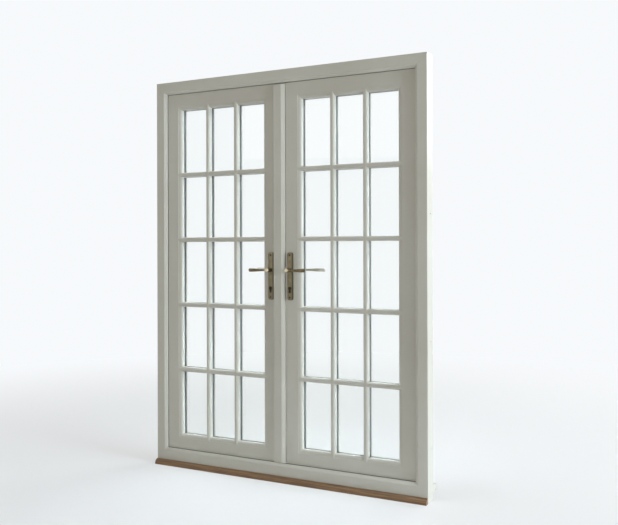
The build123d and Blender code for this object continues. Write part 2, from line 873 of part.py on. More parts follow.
def dead_bolt_hole(backset):
    y0, y1, z0, z1 = dead_bolt_span()
    front = -backset
    x0, x1 = front - past, front + faceplate_thickness + past
    return block(x0, x1, y0 - touch, y1 + touch, z0 - touch, z1 + touch)


def faceplate_face(grow=0.0):
    middle = (case_bottom + case_top) / 2
    size = (faceplate_width + 2 * grow, faceplate_length + 2 * grow)
    return Pos(leaf_middle, middle) * RectangleRounded(*size, faceplate_corner + grow)


def faceplate(backset):
    """The round-ended plate on the leaf's edge, with the hole for the dead bolt."""
    return cross_prism(faceplate_face(), -backset, -backset + faceplate_thickness) - dead_bolt_hole(backset)


def lock_cylinder():
    """The lock cylinder's body, slotted at mid-depth for the cam."""
    y0, y1 = cylinder_ends
    body = front_prism(euro_profile(), y0, y1)
    slot_half = cam_width / 2 + cam_room
    cuts = [rod(plug_radius + plug_play, y0 - past, y1 + past, 0, key_height),
            block(-cam_radius, cam_radius, cam_middle - slot_half, cam_middle + slot_half,
                  key_height - cam_radius - cam_clearance, key_height + cam_radius)]
    return body - cuts


def lock_plug():
    """The plug that the key turns, with its cam pointing down and a key slot in each end."""
    y0, y1 = cylinder_ends
    plug = rod(plug_radius, y0, y1, 0, key_height)
    cam0, cam1 = cam_middle - cam_width / 2, cam_middle + cam_width / 2
    plug += rod(cylinder_radius - plug_play, cam0, cam1, 0, key_height)
    finger_end = key_height - cam_radius + cam_finger / 2
    plug += rod(cam_finger / 2, cam0, cam1, 0, finger_end)
    plug += block(-cam_finger / 2, cam_finger / 2, cam0, cam1, finger_end, key_height)
    slot = (-key_slot_width / 2, key_slot_width / 2)
    z0, z1 = key_height - key_slot_height / 2, key_height + key_slot_height / 2
    return plug - [block(*slot, y0 - past, y0 + key_slot_depth, z0, z1),
                   block(*slot, y1 - key_slot_depth, y1 + past, z0, z1)]


def gear_cuts(backset):
    """Everything that is cut from a meeting stile for its gear."""
    front = -backset
    play = case_play
    y0, y1 = leaf_middle - case_thickness / 2 - play, leaf_middle + case_thickness / 2 + play
    cuts = [block(front - past, case_behind + play, y0, y1, case_bottom - play, case_top + play),
            cross_prism(faceplate_face(plug_play), front - past, front + faceplate_thickness),
            rod(neck_radius, leaf_face - past, outer_face + past, 0, spindle_height),
            front_prism(euro_profile(2 * touch), leaf_face - past, outer_face + past)]
    cuts += [rod(screw_hole, leaf_face - past, outer_face + past, 0, level) for level in screw_levels]
    return cuts + bolt_channels()


def meeting_strip():
    """The strip planted on the left leaf: flat, with one long bevel towards the joint."""
    x0, x1 = left_meeting_edge - strip_width, left_meeting_edge
    front = leaf_face - strip_thickness
    section = make_face([
        Line((x0, leaf_face), (x0, front + strip_round)),
        RadiusArc((x0, front + strip_round), (x0 + strip_round, front), strip_round),
        Line((x0 + strip_round, front), (x1 - strip_bevel, front)),
        Line((x1 - strip_bevel, front), (x1, leaf_face - strip_edge)),
        Line((x1, leaf_face - strip_edge), (x1, leaf_face)),
        Line((x1, leaf_face), (x0, leaf_face)),
    ])
    return upright_prism(section, sill_top + strip_end_gap, head_stop - strip_top_gap)


def placed(shape, side):
    """Moves gear drawn at x = 0 to its leaf, turned over for the left one."""
    if isinstance(shape, list):
        return [placed(piece, side) for piece in shape]
    if side == "left":
        return Pos(left_spindle, 0, 0) * flipped(shape)
    return Pos(right_spindle, 0, 0) * shape


def leaf_nodes(side):
    """All the pieces of one leaf, by name."""
    if side == "left":
        leaf = Leaf(-leaf_edge, left_meeting_edge, -sight_outer, -sight_from_middle)
        backset = left_meeting_edge - left_spindle
        hinge_side = leaf.left_stile() - [flipped(cut) for cut in leaf_hinge_recesses()]
        meeting_side = leaf.right_stile()
        hinge_plates = [flipped(plate) for plate in door_hinge_leaves()]
    else:
        leaf = Leaf(right_meeting_edge, leaf_edge, sight_from_middle, sight_outer)
        backset = right_spindle - right_meeting_edge
        hinge_side = leaf.right_stile() - leaf_hinge_recesses()
        meeting_side = leaf.left_stile()
        hinge_plates = door_hinge_leaves()
    nodes = {
        "hinge_stile": hinge_side,
        "meeting_stile": meeting_side - placed(gear_cuts(backset), side),
        "top_rail": leaf.top_rail(),
        "bottom_rail": leaf.bottom_rail(),
        "upright_bars": [leaf.upright_bar(i) for i in range(columns - 1)],
        "cross_bars": [leaf.cross_bar(i, j) for i in range(columns) for j in range(rows - 1)],
        "inner_panes": leaf.glass(glass_front),
        "outer_panes": leaf.glass(glass_back - pane_thickness),
        "pane_spacers": leaf.spacers(),
        "glazing_beads": leaf.glazing_beads(),
        "hinge_leaves": hinge_plates,
        "faceplate": placed(faceplate(backset), side),
        "lock_case": placed(lock_case(backset), side),
        "inside_plate": placed(inside_plate(), side),
        "outside_plate": placed(outside_plate(), side),
        "plate_screws": placed(plate_screws(), side),
        "lock_cylinder": placed(lock_cylinder(), side),
        "lock_plug": placed(lock_plug(), side),
        "inside_lever": placed(lever(inside_lever_reach), side),
        "outside_lever": placed(outside_copy(lever(outside_lever_reach)), side),
        "spindle": placed(spindle(), side),
        "follower": placed(follower(), side),
        "top_bolt": placed(top_bolt(), side),
        "bottom_bolt": placed(bottom_bolt(), side),
    }
    if side == "right":
        nodes["dead_bolt"] = placed(dead_bolt(backset), side)
    return {f"{side}_{name}": shape for name, shape in nodes.items()}


def frame_nodes():
    jamb = make_jamb()
    plates, pins = frame_hinge_leaves(), hinge_pins()
    return {
        "frame_head": make_head(),
        "left_jamb": flipped(jamb),
        "right_jamb": jamb,
        "frame_sill": make_sill(),
        "floor_bead": make_floor_bead(),
        "weather_seal": make_weather_seal(),
        "bolt_keeps": make_keeps(),
        "frame_hinge_leaves": plates + [flipped(plate) for plate in plates],
        "hinge_pins": pins + [flipped(pin) for pin in pins],
    }


def solids_of(shape):
    pieces = shape if isinstance(shape, list) else [shape]
    return [solid for piece in pieces for solid in piece.solids()]


def main():
    os.makedirs("parts", exist_ok=True)
    nodes = frame_nodes()
    nodes["meeting_strip"] = meeting_strip()
    for side in ("left", "right"):
        nodes.update(leaf_nodes(side))
    for name, shape in nodes.items():
        solids = solids_of(shape)
        whole = solids[0] if len(solids) == 1 else Compound(children=solids)
        export_step(whole, f"parts/{name}.step")
        print(name, len(solids))


main()
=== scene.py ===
# %% [markdown]
# # Glazed french doors in a painted timber frame
# The model comes packed from CAD: a four-sided frame, two leaves with glazing bars, sealed panes,
# butt hinges, lever handles and the bolt gear inside the meeting stiles. Here it gets its soft
# paint edges, its finishes, its small fittings, a camera and a plain studio.

# %% Load the frame
import itertools
import json
import math

import bmesh
import bpy
from mathutils import Matrix, Vector

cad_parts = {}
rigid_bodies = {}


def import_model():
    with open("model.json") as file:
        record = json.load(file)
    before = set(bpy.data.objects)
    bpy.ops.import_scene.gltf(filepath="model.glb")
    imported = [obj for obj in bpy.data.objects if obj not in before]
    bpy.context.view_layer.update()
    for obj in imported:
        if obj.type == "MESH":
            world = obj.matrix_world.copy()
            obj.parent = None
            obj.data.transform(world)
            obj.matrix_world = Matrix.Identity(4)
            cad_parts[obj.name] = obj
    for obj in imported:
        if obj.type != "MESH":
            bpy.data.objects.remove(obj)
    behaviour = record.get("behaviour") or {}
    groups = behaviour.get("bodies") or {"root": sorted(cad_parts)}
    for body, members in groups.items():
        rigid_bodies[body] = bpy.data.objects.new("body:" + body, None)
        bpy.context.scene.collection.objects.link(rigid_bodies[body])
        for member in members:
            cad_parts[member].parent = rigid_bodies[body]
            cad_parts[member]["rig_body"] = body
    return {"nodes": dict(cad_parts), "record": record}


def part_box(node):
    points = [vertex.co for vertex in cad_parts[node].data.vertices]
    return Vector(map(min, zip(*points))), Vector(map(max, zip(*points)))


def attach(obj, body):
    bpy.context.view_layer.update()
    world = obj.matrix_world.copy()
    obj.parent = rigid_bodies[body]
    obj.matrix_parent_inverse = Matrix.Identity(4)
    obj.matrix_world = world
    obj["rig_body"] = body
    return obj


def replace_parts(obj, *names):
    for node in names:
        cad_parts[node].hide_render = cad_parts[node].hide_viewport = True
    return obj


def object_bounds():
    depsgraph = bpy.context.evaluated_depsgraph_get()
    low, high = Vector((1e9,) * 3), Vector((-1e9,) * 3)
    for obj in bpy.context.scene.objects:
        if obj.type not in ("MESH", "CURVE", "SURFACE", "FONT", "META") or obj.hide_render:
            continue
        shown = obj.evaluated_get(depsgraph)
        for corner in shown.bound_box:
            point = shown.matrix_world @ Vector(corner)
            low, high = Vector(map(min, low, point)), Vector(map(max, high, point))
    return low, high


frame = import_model()
cad_box = [list(corner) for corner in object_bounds()]
nodes = frame["nodes"]
print("nodes", len(nodes), "box", cad_box)

# %% [markdown]
# A camera match starts with the horizon. The lens stays level, so that upright timber stays
# upright in the picture, and a small vertical shift moves the horizon to its place.
# The position and the turn were worked out from the frame's corners and glazing lines.

# %% Camera
camera_place = (2.029, -3.589, 1.200)
camera_turn_left = math.radians(27.69)
camera_roll = math.radians(-0.15)
picture_width, picture_height = 618, 525
focal_pixels = 802.5
horizon_row = 246.0
sensor_width = 36.0

camera_data = bpy.data.cameras.new("camera")
camera_data.sensor_width = sensor_width
camera_data.sensor_fit = "HORIZONTAL"
camera_data.lens = focal_pixels / picture_width * sensor_width
camera_data.shift_y = (horizon_row - picture_height / 2) / picture_width
camera = bpy.data.objects.new("camera", camera_data)
bpy.context.scene.collection.objects.link(camera)
level = Matrix.Rotation(camera_turn_left, 4, "Z") @ Matrix.Rotation(math.pi / 2, 4, "X")
camera.matrix_world = Matrix.Translation(camera_place) @ level @ Matrix.Rotation(camera_roll, 4, "Z")
bpy.context.scene.camera = camera
bpy.context.scene.view_settings.view_transform = "Standard"
print("lens", round(camera_data.lens, 2), "shift", round(camera_data.shift_y, 4))

# %% [markdown]
# Every finish is a small node tree on the Principled shader. Object coordinates are the real
# metres of the doors, so a noise texture can be sized in millimetres, and stretching it with
# a Mapping node gives it a direction: brush marks run along each length of timber.

# %% Helpers for finishes
# A stretch of 1 on each axis leaves a texture as it is.
even = (1, 1, 1)


def new_finish(name):
    material = bpy.data.materials.new(name)
    material.use_nodes = True
    tree = material.node_tree
    return material, tree, tree.nodes["Principled BSDF"]


def placed_noise(tree, stretch, scale, detail):
    """A noise texture on Object coordinates, stretched by a Mapping node."""
    place = tree.nodes.new("ShaderNodeTexCoord")
    mapping = tree.nodes.new("ShaderNodeMapping")
    mapping.inputs["Scale"].default_value = stretch
    noise = tree.nodes.new("ShaderNodeTexNoise")
    noise.inputs["Scale"].default_value = scale
    noise.inputs["Detail"].default_value = detail
    tree.links.new(place.outputs["Object"], mapping.inputs["Vector"])
    tree.links.new(mapping.outputs["Vector"], noise.inputs["Vector"])
    return noise


# %% [markdown]
# One noise can do three jobs. A colour ramp turns it into tones, a Map Range node turns it into
# a more or less polished surface, and a Bump node turns it into relief. Driving two of them
# from the same noise ties them together, as they are on a real surface.


# %% Tone, polish and relief from a texture
def ramp(tree, source, stops):
    """A colour ramp over a texture's strength; stops are (place, colour)."""
    node = tree.nodes.new("ShaderNodeValToRGB")
    elements = node.color_ramp.elements
    while len(elements) < len(stops):
        elements.new(0.5)
    for element, (place, colour) in zip(elements, stops):
        element.position = place
        element.color = (*colour, 1.0)
    tree.links.new(source.outputs[0], node.inputs["Fac"])
    return node


def spread(tree, source, low, high):
    """The texture's strength mapped to the range from low to high."""
    node = tree.nodes.new("ShaderNodeMapRange")
    node.inputs["To Min"].default_value = low
    node.inputs["To Max"].default_value = high
    tree.links.new(source.outputs[0], node.inputs["Value"])
    return node


def bump(tree, shader, source, strength, distance, under=None):
    """Raises the surface by a texture, on top of an earlier bump if one is given."""
    node = tree.nodes.new("ShaderNodeBump")
    node.inputs["Strength"].default_value = strength
    node.inputs["Distance"].default_value = distance
    tree.links.new(source.outputs[0], node.inputs["Height"])
    if under:
        tree.links.new(under.outputs["Normal"], node.inputs["Normal"])
    tree.links.new(node.outputs["Normal"], shader.inputs["Normal"])
    return node


# %% [markdown]
# The paint is a satin off-white, put on by brush. Three scales make it look real: faint
# clouds of tone over a hand's width, brush marks a millimetre apart along the grain, and a fine
# skin. Upright and level timber get the same paint with the brush turned.

# %% Painted timber
paint_light = (0.605, 0.585, 0.515)
paint_deep = (0.545, 0.52, 0.445)
along_brush = 0.02


def make_paint(name, stretch):
    material, tree, shader = new_finish(name)
    clouds = placed_noise(tree, even, scale=2.2, detail=4.0)
    tone = ramp(tree, clouds, [(0.3, paint_deep), (0.7, paint_light)])
    tree.links.new(tone.outputs["Color"], shader.inputs["Base Color"])
    marks = placed_noise(tree, stretch, scale=420.0, detail=2.0)
    sheen = spread(tree, marks, low=0.34, high=0.5)
    tree.links.new(sheen.outputs[0], shader.inputs["Roughness"])
    brush = bump(tree, shader, marks, strength=0.25, distance=0.0004)
    skin = placed_noise(tree, even, scale=900.0, detail=2.0)
    bump(tree, shader, skin, strength=0.06, distance=0.0002, under=brush)
    return material


paint_upright = make_paint("paint_upright", (1, 1, along_brush))
paint_across = make_paint("paint_across", (along_brush, 1, 1))
print("paints", paint_upright.name, paint_across.name)

# %% [markdown]
# The bead at the foot of the sill is bare wood with a dark brown stain. Its grain is long noise
# with sharp dark streaks, and the polish is worn unevenly.

# %% Dark stained wood
stain_dark = (0.115, 0.055, 0.020)
stain_light = (0.270, 0.150, 0.062)
along_grain, along_wear = 0.03, 0.3

dark_wood, tree, shader = new_finish("dark_wood")
grain = placed_noise(tree, (along_grain, 1, 1), scale=260.0, detail=6.0)
tone = ramp(tree, grain, [(0.35, stain_dark), (0.65, stain_light)])
tree.links.new(tone.outputs["Color"], shader.inputs["Base Color"])
wear = placed_noise(tree, (along_wear, 1, 1), scale=30.0, detail=3.0)
tree.links.new(spread(tree, wear, low=0.28, high=0.5).outputs[0], shader.inputs["Roughness"])
bump(tree, shader, grain, strength=0.2, distance=0.0005)
print("wood", dark_wood.name)

# %% [markdown]
# Aged brass is brown where the air has worked on it and brighter where hands polish it.
# One noise drives both the colour and the roughness, so that the dull places are also the dark ones.

# %% Metals
marks_per_cloud = 12


def make_metal(name, dull, bright, rough_low, rough_high, scale):
    material, tree, shader = new_finish(name)
    shader.inputs["Metallic"].default_value = 1.0
    clouds = placed_noise(tree, even, scale, detail=5.0)
    tone = ramp(tree, clouds, [(0.34, dull), (0.68, bright)])
    tree.links.new(tone.outputs["Color"], shader.inputs["Base Color"])
    tree.links.new(spread(tree, clouds, rough_high, rough_low).outputs[0], shader.inputs["Roughness"])
    marks = placed_noise(tree, even, scale * marks_per_cloud, detail=2.0)
    bump(tree, shader, marks, strength=0.08, distance=0.0002)
    return material


aged_brass = make_metal("aged_brass", dull=(0.150, 0.122, 0.072), bright=(0.205, 0.168, 0.102),
                        rough_low=0.34, rough_high=0.46, scale=45.0)
dark_bronze_and_keyhole_shade = make_metal("dark_bronze_and_keyhole_shade", dull=(0.020, 0.016, 0.011), bright=(0.048, 0.038, 0.026),
                         rough_low=0.36, rough_high=0.5, scale=110.0)
plated_steel = make_metal("plated_steel", dull=(0.42, 0.42, 0.41), bright=(0.62, 0.61, 0.58),
                          rough_low=0.24, rough_high=0.4, scale=90.0)
spacer_metal = make_metal("spacer_metal", dull=(0.10, 0.115, 0.14), bright=(0.16, 0.18, 0.21),
                          rough_low=0.34, rough_high=0.48, scale=90.0)
print("metals", [metal.name for metal in (aged_brass, dark_bronze_and_keyhole_shade, plated_steel, spacer_metal)])

# %% [markdown]
# Some colours on brass go by place, not by chance: polish wear, a painted highlight and a painted
# shade. So the aged colour is blended into another one by a distance in Object coordinates, which sits in
# the same place from every side. A weight on each axis turns the round patch into a band.

# %% Helpers for wear, painted highlight and painted shade at a place
# In colour mode a Mix node takes its factor and colours by these numbers, as their names repeat.
mix_factor, mix_first, mix_second, mix_result = 0, 6, 7, 2


def distance_node(tree, point, stretch):
    """The distance of the surface from a point, with each axis weighed by stretch."""
    place = tree.nodes.new("ShaderNodeTexCoord")
    weigh = tree.nodes.new("ShaderNodeVectorMath")
    weigh.operation = "MULTIPLY"
    weigh.inputs[1].default_value = stretch
    tree.links.new(place.outputs["Object"], weigh.inputs[0])
    away = tree.nodes.new("ShaderNodeVectorMath")
    away.operation = "DISTANCE"
    away.inputs[1].default_value = [value * weight for value, weight in zip(point, stretch)]
    tree.links.new(weigh.outputs["Vector"], away.inputs[0])
    return away.outputs["Value"]


def blend_by_distance(material, point, distances, amounts, colour, stretch=even):
    """Blends a colour over the finish, from the first amount at the first distance to the second."""
    tree = material.node_tree
    shader = tree.nodes["Principled BSDF"]
    aged = shader.inputs["Base Color"].links[0].from_socket
    fade = tree.nodes.new("ShaderNodeMapRange")
    for socket, value in zip(("From Min", "From Max", "To Min", "To Max"), (*distances, *amounts)):
        fade.inputs[socket].default_value = value
    tree.links.new(distance_node(tree, point, stretch), fade.inputs["Value"])
    blend = tree.nodes.new("ShaderNodeMix")
    blend.data_type = "RGBA"
    blend.inputs[mix_second].default_value = colour
    tree.links.new(fade.outputs[0], blend.inputs[mix_factor])
    tree.links.new(aged, blend.inputs[mix_first])
    tree.links.new(blend.outputs[mix_result], shader.inputs["Base Color"])
    return material


# %% [markdown]
# A lever is polished where the thumb meets the end of its neck. The bright colour there is partly that
# polish and partly a painted highlight for the light that the neck end catches. A plate gets painted shade
# along its upright borders, where its bevelled sides fall into shade. Out of doors the levers get a
# near-white brass, a painted highlight that stands for the sun on them.

# %% Levers and plates, with polish, painted highlights and painted shade
polish_and_highlight_colour = (0.62, 0.54, 0.38, 1.0)
glint_from, glint_to = 0.0085, 0.016
border_shade_colour = (0.060, 0.046, 0.026, 1.0)
border_from, border_to = 0.62, 0.84
border_shade = 0.62
across_plate = (1, 0, 0)

special_finish = {}
for side in ("left", "right"):
    hub_x = sum(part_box(f"{side}_spindle")[end][0] for end in (0, 1)) / 2
    lever = f"{side}_inside_lever"
    low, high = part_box(lever)
    thumb_place = (hub_x, low[1], (low[2] + high[2]) / 2)
    brass = make_metal(f"{lever}_brass", dull=(0.095, 0.072, 0.040), bright=(0.190, 0.150, 0.088),
                       rough_low=0.28, rough_high=0.42, scale=70.0)
    # Polish wear and painted highlight: the neck end is blended to a bright brass.
    special_finish[lever] = blend_by_distance(brass, thumb_place, (glint_from, glint_to), (1.0, 0.0),
                                              polish_and_highlight_colour)
    lever = f"{side}_outside_lever"
    # Painted highlight: a near-white brass on the outside levers stands for the sun that lights them.
    special_finish[lever] = make_metal(f"{lever}_brass", dull=(0.56, 0.54, 0.44), bright=(0.80, 0.78, 0.68),
                                       rough_low=0.24, rough_high=0.36, scale=70.0)
    for face in ("inside", "outside"):
        plate = f"{side}_{face}_plate"
        low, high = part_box(plate)
        half_width = (high[0] - low[0]) / 2
        middle = [(a + b) / 2 for a, b in zip(low, high)]
        brass = make_metal(f"{plate}_brass", dull=(0.150, 0.126, 0.076), bright=(0.215, 0.182, 0.112),
                           rough_low=0.34, rough_high=0.46, scale=45.0)
        # Painted shade: the plate darkens towards its upright borders, where its bevelled sides fall into
        # shade.
        border = (half_width * border_from, half_width * border_to)
        special_finish[plate] = blend_by_distance(brass, middle, border, (0.0, border_shade),
                                                  border_shade_colour, across_plate)
    # Painted shade: the lock cylinder and plug get the near-black bronze, which stands for the dark
    # keyhole.
    special_finish[f"{side}_lock_cylinder"] = dark_bronze_and_keyhole_shade
    special_finish[f"{side}_lock_plug"] = dark_bronze_and_keyhole_shade
print("special finishes", len(special_finish))

# %% [markdown]
# The seal is matt black rubber. The glass is plain float glass: clear, smooth, and just a
# little green, which shows most at the edges and where two panes lie behind each other.

# %% Rubber and glass
rubber_black = (0.02, 0.02, 0.021, 1.0)
glass_tint = (0.985, 0.995, 0.99, 1.0)
glass_ior = 1.5

rubber, tree, shader = new_finish("seal_rubber")
shader.inputs["Base Color"].default_value = rubber_black
grit = placed_noise(tree, even, scale=500.0, detail=3.0)
tree.links.new(spread(tree, grit, low=0.6, high=0.8).outputs[0], shader.inputs["Roughness"])
bump(tree, shader, grit, strength=0.15, distance=0.0003)

glass, tree, shader = new_finish("pane_glass")
shader.inputs["Base Color"].default_value = glass_tint
shader.inputs["Transmission Weight"].default_value = 1.0
shader.inputs["Roughness"].default_value = 0.0
shader.inputs["IOR"].default_value = glass_ior
print("rubber and glass", rubber.name, glass.name)

# %% [markdown]
# Each CAD node gets the finish of its real part. Which one is read from the material slot that
# the record gives it, and timber also needs to know which way it runs.

# %% Finish by node
across_words = ("head", "sill", "rail", "cross_bars")
slot_of = {part["node"]: part["material_slot"] for part in frame["record"]["subparts"]}
finish_of_slot = {
    "dark_timber": dark_wood,
    "glass": glass,
    "spacer": spacer_metal,
    "seal": rubber,
    "aged_brass": aged_brass,
    "plated_steel": plated_steel,
}


def finish_for(name):
    if name in special_finish:
        return special_finish[name]
    if slot_of[name] != "painted_timber":
        return finish_of_slot[slot_of[name]]
    return paint_across if any(word in name for word in across_words) else paint_upright


for name, node in nodes.items():
    node.data.materials.clear()
    node.data.materials.append(finish_for(name))
print("finishes in use", len({finish_for(name) for name in nodes}))

# %% [markdown]
# CAD edges are perfectly sharp and its triangles are loose. Real paint rounds every arris, and
# that thin highlight is what tells the eye where one length of timber meets the next. A copy of
# the node is merged, its flat faces are joined, and a Bevel modifier softens the arrises.

# %% Helpers for soft paint edges
merge_distance = 0.00001
flat_angle = math.radians(0.5)
crease_angle = math.radians(28)
bevel_segments = 2


def link(piece, finish, body):
    bpy.context.scene.collection.objects.link(piece)
    piece.data.materials.clear()
    piece.data.materials.append(finish)
    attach(piece, body)


def shade(mesh):
    mesh.shade_smooth()
    mesh.set_sharp_from_angle(angle=crease_angle)


def soft_bevel(piece, width):
    modifier = piece.modifiers.new("soft_edge", "BEVEL")
    modifier.width = width
    modifier.segments = bevel_segments
    modifier.limit_method = "ANGLE"
    modifier.angle_limit = crease_angle
    modifier.harden_normals = True


def dressed(name, edge=0):
    """A merged copy of a CAD node, with softened edges if a width is given, which stands for the node."""
    node = nodes[name]
    work = bmesh.new()
    work.from_mesh(node.data)
    bmesh.ops.remove_doubles(work, verts=work.verts, dist=merge_distance)
    bmesh.ops.dissolve_limit(work, angle_limit=flat_angle, verts=work.verts, edges=work.edges)
    mesh = bpy.data.meshes.new(f"{name}_dressed")
    work.to_mesh(mesh)
    work.free()
    piece = bpy.data.objects.new(f"{name}_dressed", mesh)
    link(piece, finish_for(name), node["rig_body"])
    shade(mesh)
    if edge:
        soft_bevel(piece, edge)
    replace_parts(piece, name)


# %% [markdown]
# The frame and the strip are stout lengths with thick paint in their arrises. The leaves have
# finer mouldings, so their arrises are half as soft.

# %% Soft paint edges
timber_edge = 0.0008
fine_edge = 0.0004
frame_timber = ("frame_head", "left_jamb", "right_jamb", "frame_sill", "meeting_strip")
leaf_timber = ("hinge_stile", "meeting_stile", "top_rail", "bottom_rail", "upright_bars", "cross_bars")
for name in frame_timber:
    dressed(name, timber_edge)
for side in ("left", "right"):
    for part in leaf_timber:
        dressed(f"{side}_{part}", fine_edge)
print("timber pieces", len(frame_timber) + 2 * len(leaf_timber))

# %% [markdown]
# The metal fittings and the floor bead already have their roundings in CAD. Merging and smooth
# shading is all that they need, with no extra bevel.

# %% Smooth fittings
side_fittings = ("inside_lever", "outside_lever", "inside_plate", "outside_plate", "lock_cylinder",
                 "lock_plug", "hinge_leaves")
single_fittings = ("frame_hinge_leaves", "hinge_pins", "floor_bead")
for side in ("left", "right"):
    for part in side_fittings:
        dressed(f"{side}_{part}")
for name in single_fittings:
    dressed(name)
print("smooth pieces", 2 * len(side_fittings) + len(single_fittings))

# %% [markdown]
# A node such as the glazing beads holds many separate solids. New small parts are laid where
# those solids are, so the first helper walks from vertex to vertex to find each of them. The
# second turns a finished bmesh into a piece that rides with its body.


# %% Helpers for small parts
def islands(name):
    """The low and high corners of each separate solid of a node."""
    work = bmesh.new()
    work.from_mesh(nodes[name].data)
    bmesh.ops.remove_doubles(work, verts=work.verts, dist=merge_distance)
    boxes, unseen = [], set(work.verts)
    while unseen:
        group, queue = [], [unseen.pop()]
        while queue:
            vert = queue.pop()
            group.append(vert.co)
            fresh = {edge.other_vert(vert) for edge in vert.link_edges} & unseen
            unseen -= fresh
            queue.extend(fresh)
        low = Vector([min(co[axis] for co in group) for axis in range(3)])
        high = Vector([max(co[axis] for co in group) for axis in range(3)])
        boxes.append((low, high))
    work.free()
    return sorted(boxes, key=lambda box: tuple(box[0]))


def new_piece(work, name, finish, body, slot, edge=0):
    mesh = bpy.data.meshes.new(name)
    work.to_mesh(mesh)
    work.free()
    piece = bpy.data.objects.new(name, mesh)
    link(piece, finish, body)
    shade(mesh)
    if edge:
        soft_bevel(piece, edge)
    print(name, "faces", len(mesh.polygons))
    return piece


def verts_of(geometry):
    return [item for item in geometry if isinstance(item, bmesh.types.BMVert)]


# %% [markdown]
# Beads and seals go round a rectangle in four lengths that meet at 45 degrees. Each length is
# one section, extruded. Then its ends are sheared: a point moves along the run by as much as it
# lies inwards from the corner, which gives the cut of a mitre saw. Whether a length comes out
# with its faces outwards depends on the order of its section's points, so the normals are
# recalculated once all lengths are in place.


# %% Helpers for mitred lengths
def mitred_length(work, corner, run, inward, length, section, joint):
    """One length of a section of (inset, y) points, cut to 45 degrees at both ends."""
    near = [work.verts.new(corner + inward * inset + Vector((0, y, 0))) for inset, y in section]
    far = verts_of(bmesh.ops.extrude_face_region(work, geom=[work.faces.new(near)])["geom"])
    bmesh.ops.translate(work, verts=far, vec=run * length)
    for ends, way in ((near, 1), (far, -1)):
        for vert in ends:
            inset = (vert.co - corner).dot(inward)
            vert.co += run * way * (inset + joint)


def mitred_ring(work, low, high, section, joint=0.0):
    """Four lengths round a rectangle in X and Z, each joint open by a given amount."""
    right, up = Vector((1, 0, 0)), Vector((0, 0, 1))
    width, height = high.x - low.x, high.z - low.z
    lengths = (
        (low.x, low.z, right, up, width),
        (high.x, low.z, up, -right, height),
        (high.x, high.z, -right, -up, width),
        (low.x, high.z, -up, right, height),
    )
    for x, z, run, inward, length in lengths:
        mitred_length(work, Vector((x, 0, z)), run, inward, length, section, joint)


# %% [markdown]
# Outside, each pane is held by four beads cut to 45 degrees at the corners. The joints are a
# fraction of a millimetre open, as they are after a few summers.

# %% Mitred glazing beads
bead_width = 0.008
bead_slope = 0.003
bead_edge = 0.0005
mitre_open = 0.00015
for side in ("left", "right"):
    name = f"{side}_glazing_beads"
    work = bmesh.new()
    for low, high in islands(name):
        section = ((0.0, low.y), (bead_width, low.y), (bead_width, high.y - bead_slope), (0.0, high.y))
        mitred_ring(work, low, high, section, mitre_open)
    bmesh.ops.recalc_face_normals(work, faces=work.faces)
    piece = new_piece(work, f"{side}_mitred_beads", paint_across, nodes[name]["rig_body"], slot_of[name],
                      bead_edge)
    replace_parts(piece, name)

# %% [markdown]
# The weather seal is one rubber section: a flat foot in the rebate, a bulb that the leaf nearly
# closes on, and a thin lip. The lip stands a little past the stop, so that its black shows in the gap
# round the leaves: a real seal, placed there as painted shade for the dark gap line.

# %% Weather seal
seal_low, seal_high = (Vector(corner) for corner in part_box("weather_seal"))
seal_width = 0.009
foot_thickness = 0.0008
bulb_half, bulb_steps = 0.0033, 8
# The lip reaches past the seal's width so that black rubber shows in the gap: painted shade.
lip_end, lip_bend = 0.0124, 0.0106
lip_drop, lip_thickness = 0.0004, 0.0008

foot_top = seal_low.y + foot_thickness
bulb_rise = seal_high.y - foot_top
section = [(0.0, seal_low.y), (0.0, foot_top)]
for step in range(bulb_steps + 1):
    swing = math.pi * step / bulb_steps
    section.append((seal_width / 2 - bulb_half * math.cos(swing), foot_top + bulb_rise * math.sin(swing)))
lip_y = seal_high.y - lip_drop
bend_y = (foot_top + lip_y) / 2
section += [
    (seal_width, foot_top),
    (lip_bend, bend_y),
    (lip_end, lip_y),
    (lip_end, lip_y - lip_thickness),
    (lip_bend, bend_y - lip_thickness),
    (seal_width, seal_low.y),
]
work = bmesh.new()
mitred_ring(work, seal_low, seal_high, section)
bmesh.ops.recalc_face_normals(work, faces=work.faces)
bulb_seal = new_piece(work, "bulb_seal", rubber, nodes["weather_seal"]["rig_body"], slot_of["weather_seal"])
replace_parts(bulb_seal, "weather_seal")

# %% [markdown]
# A screw starts as a ball, cut in half and flattened to a domed head. Two more cuts mark the
# slot, whose faces are pushed down. Then the rim is extruded twice, inwards to the shank under
# the head and straight down to the end, where the last hole is filled. A closed mesh with a
# positive volume has its faces outwards. That is made sure of here, on one screw by itself,
# because recalculating a whole row of loose screws can turn some of them inside out.

# %% A slotted screw
head_sides, head_rings = 24, 8
slot_share = 0.13


def cut(work, place, normal, clear_inner=False):
    """Cuts the whole mesh along a plane, and clears one side of it if asked."""
    everything = work.verts[:] + work.edges[:] + work.faces[:]
    bmesh.ops.bisect_plane(work, geom=everything, plane_co=place, plane_no=normal, clear_inner=clear_inner,
                           dist=merge_distance)


